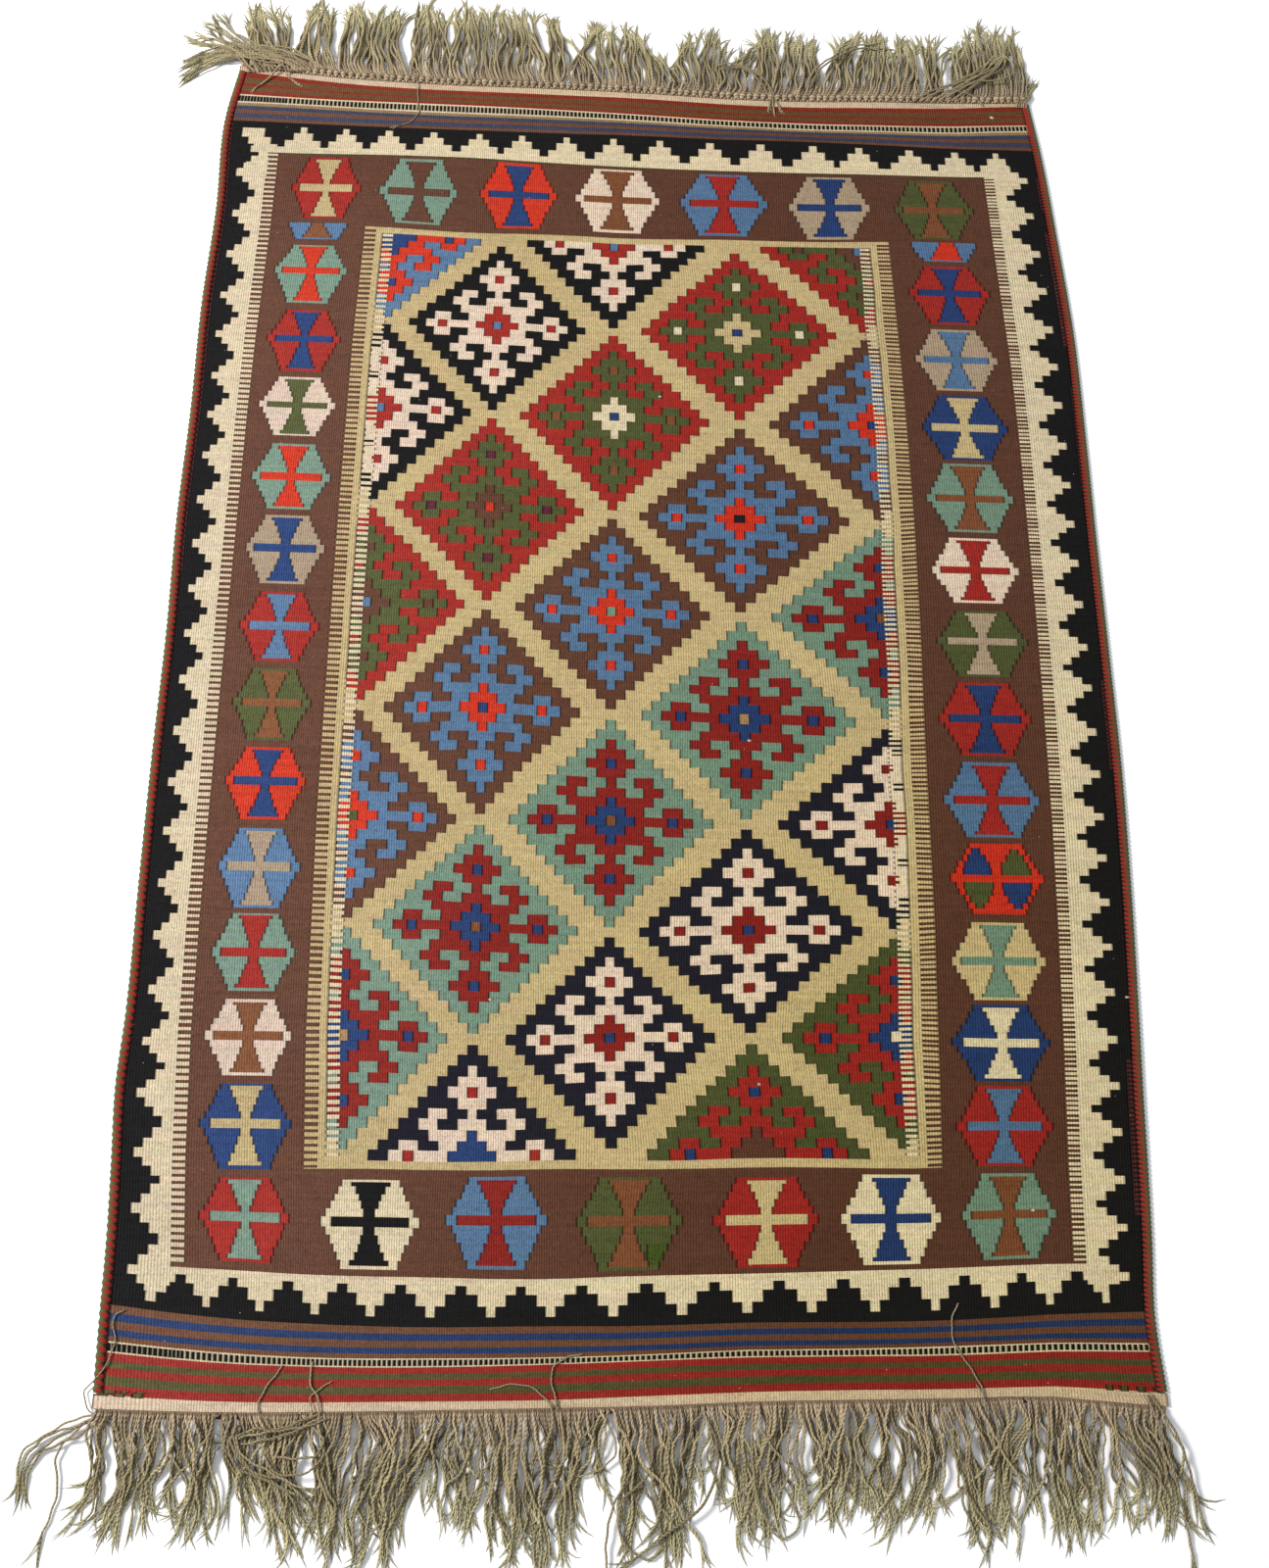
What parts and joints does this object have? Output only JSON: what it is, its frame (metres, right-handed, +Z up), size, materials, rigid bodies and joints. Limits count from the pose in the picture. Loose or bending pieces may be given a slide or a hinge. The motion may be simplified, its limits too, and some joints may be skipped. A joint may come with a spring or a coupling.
{
  "type": "kilim rug",
  "caption": "Flat-woven rug with a lattice of stepped diamonds, hexagon and toothed borders, overcast edges and a yarn fringe at each end.",
  "frame": {"origin": "middle of the woven web's underside, on the floor that the rug lies on", "axes": "+Z up, +Y along the rug towards the end with the row of knots, +X across it"},
  "size_m": [1.0795, 1.8227, 0.005],
  "materials": {
    "woven_web": "weft-faced wool, matt, ribbed by its warps",
    "overcast_selvedge": "overcast wool in two colours, matt",
    "fringe_yarn": "undyed two-ply yarn, matt, frayed at the ends"
  },
  "bodies": {
    "root": {"kilim_cloth": "woven_web", "selvedge_left": "overcast_selvedge", "selvedge_right": "overcast_selvedge", "fringe_top": "fringe_yarn", "fringe_bottom": "fringe_yarn"}
  },
  "joints": []
}
